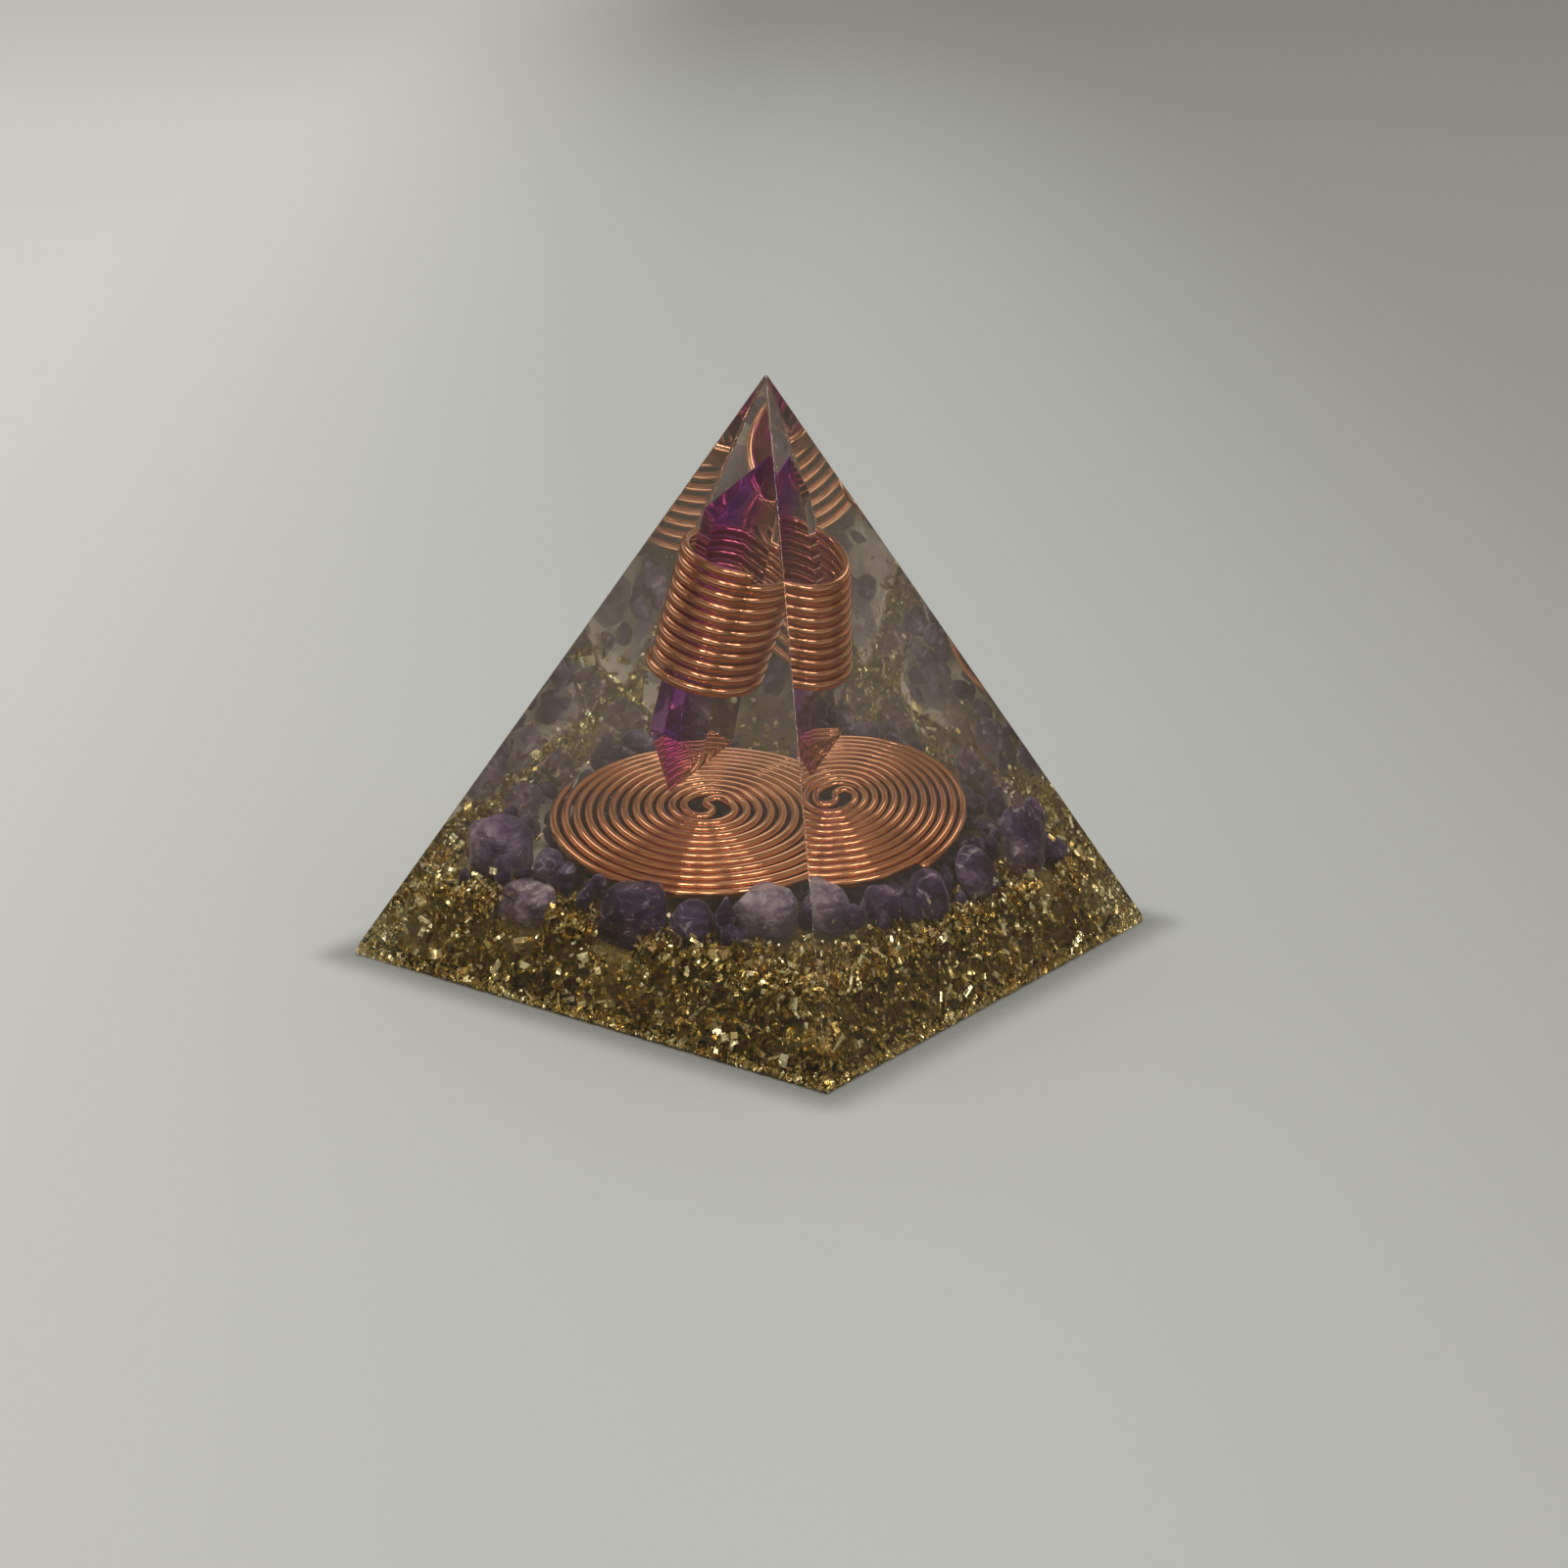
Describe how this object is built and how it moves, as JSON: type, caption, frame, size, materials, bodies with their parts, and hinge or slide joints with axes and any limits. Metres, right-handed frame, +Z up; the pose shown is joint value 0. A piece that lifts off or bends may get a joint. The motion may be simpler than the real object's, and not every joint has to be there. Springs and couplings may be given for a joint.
{
  "type": "orgone pyramid",
  "caption": "Clear cast resin pyramid holding a leaning crystal point in a copper coil, over a flat copper spiral, a bed of tumbled amethyst chips and a base of brass shavings.",
  "frame": {"origin": "middle of the flat underside", "axes": "+Z up along the pyramid's height; the base's sides lie along X and Y; the pictured faces look along -Y and +X"},
  "size_m": [0.0756, 0.0756, 0.0755],
  "materials": {
    "clear_resin": "polished clear casting resin, faintly grey",
    "brass_resin": "polished casting resin packed with dark gold brass shavings",
    "copper": "bare bright copper wire",
    "crystal": "cut and polished clear crystal with a violet sheen",
    "amethyst": "tumbled amethyst, purple to grey violet with milky zones"
  },
  "bodies": {
    "root": {"amethyst_chip_01": "amethyst", "amethyst_chip_02": "amethyst", "amethyst_chip_03": "amethyst", "amethyst_chip_04": "amethyst", "amethyst_chip_05": "amethyst", "amethyst_chip_06": "amethyst", "amethyst_chip_07": "amethyst", "amethyst_chip_08": "amethyst", "amethyst_chip_09": "amethyst", "amethyst_chip_10": "amethyst", "amethyst_chip_11": "amethyst", "amethyst_chip_12": "amethyst", "amethyst_chip_13": "amethyst", "amethyst_chip_14": "amethyst", "amethyst_chip_15": "amethyst", "amethyst_chip_16": "amethyst", "amethyst_chip_17": "amethyst", "amethyst_chip_18": "amethyst", "amethyst_chip_19": "amethyst", "amethyst_chip_20": "amethyst", "amethyst_chip_21": "amethyst", "amethyst_chip_22": "amethyst", "amethyst_chip_23": "amethyst", "amethyst_chip_24": "amethyst", "amethyst_chip_25": "amethyst", "amethyst_chip_26": "amethyst", "amethyst_chip_27": "amethyst", "amethyst_chip_28": "amethyst", "amethyst_chip_29": "amethyst", "amethyst_chip_30": "amethyst", "amethyst_chip_31": "amethyst", "amethyst_chip_32": "amethyst", "amethyst_chip_33": "amethyst", "clear_casting": "clear_resin", "brass_casting": "brass_resin", "packed_shavings": "brass_resin", "flat_spiral": "copper", "crystal_point": "crystal", "helix_coil": "copper"}
  },
  "joints": []
}
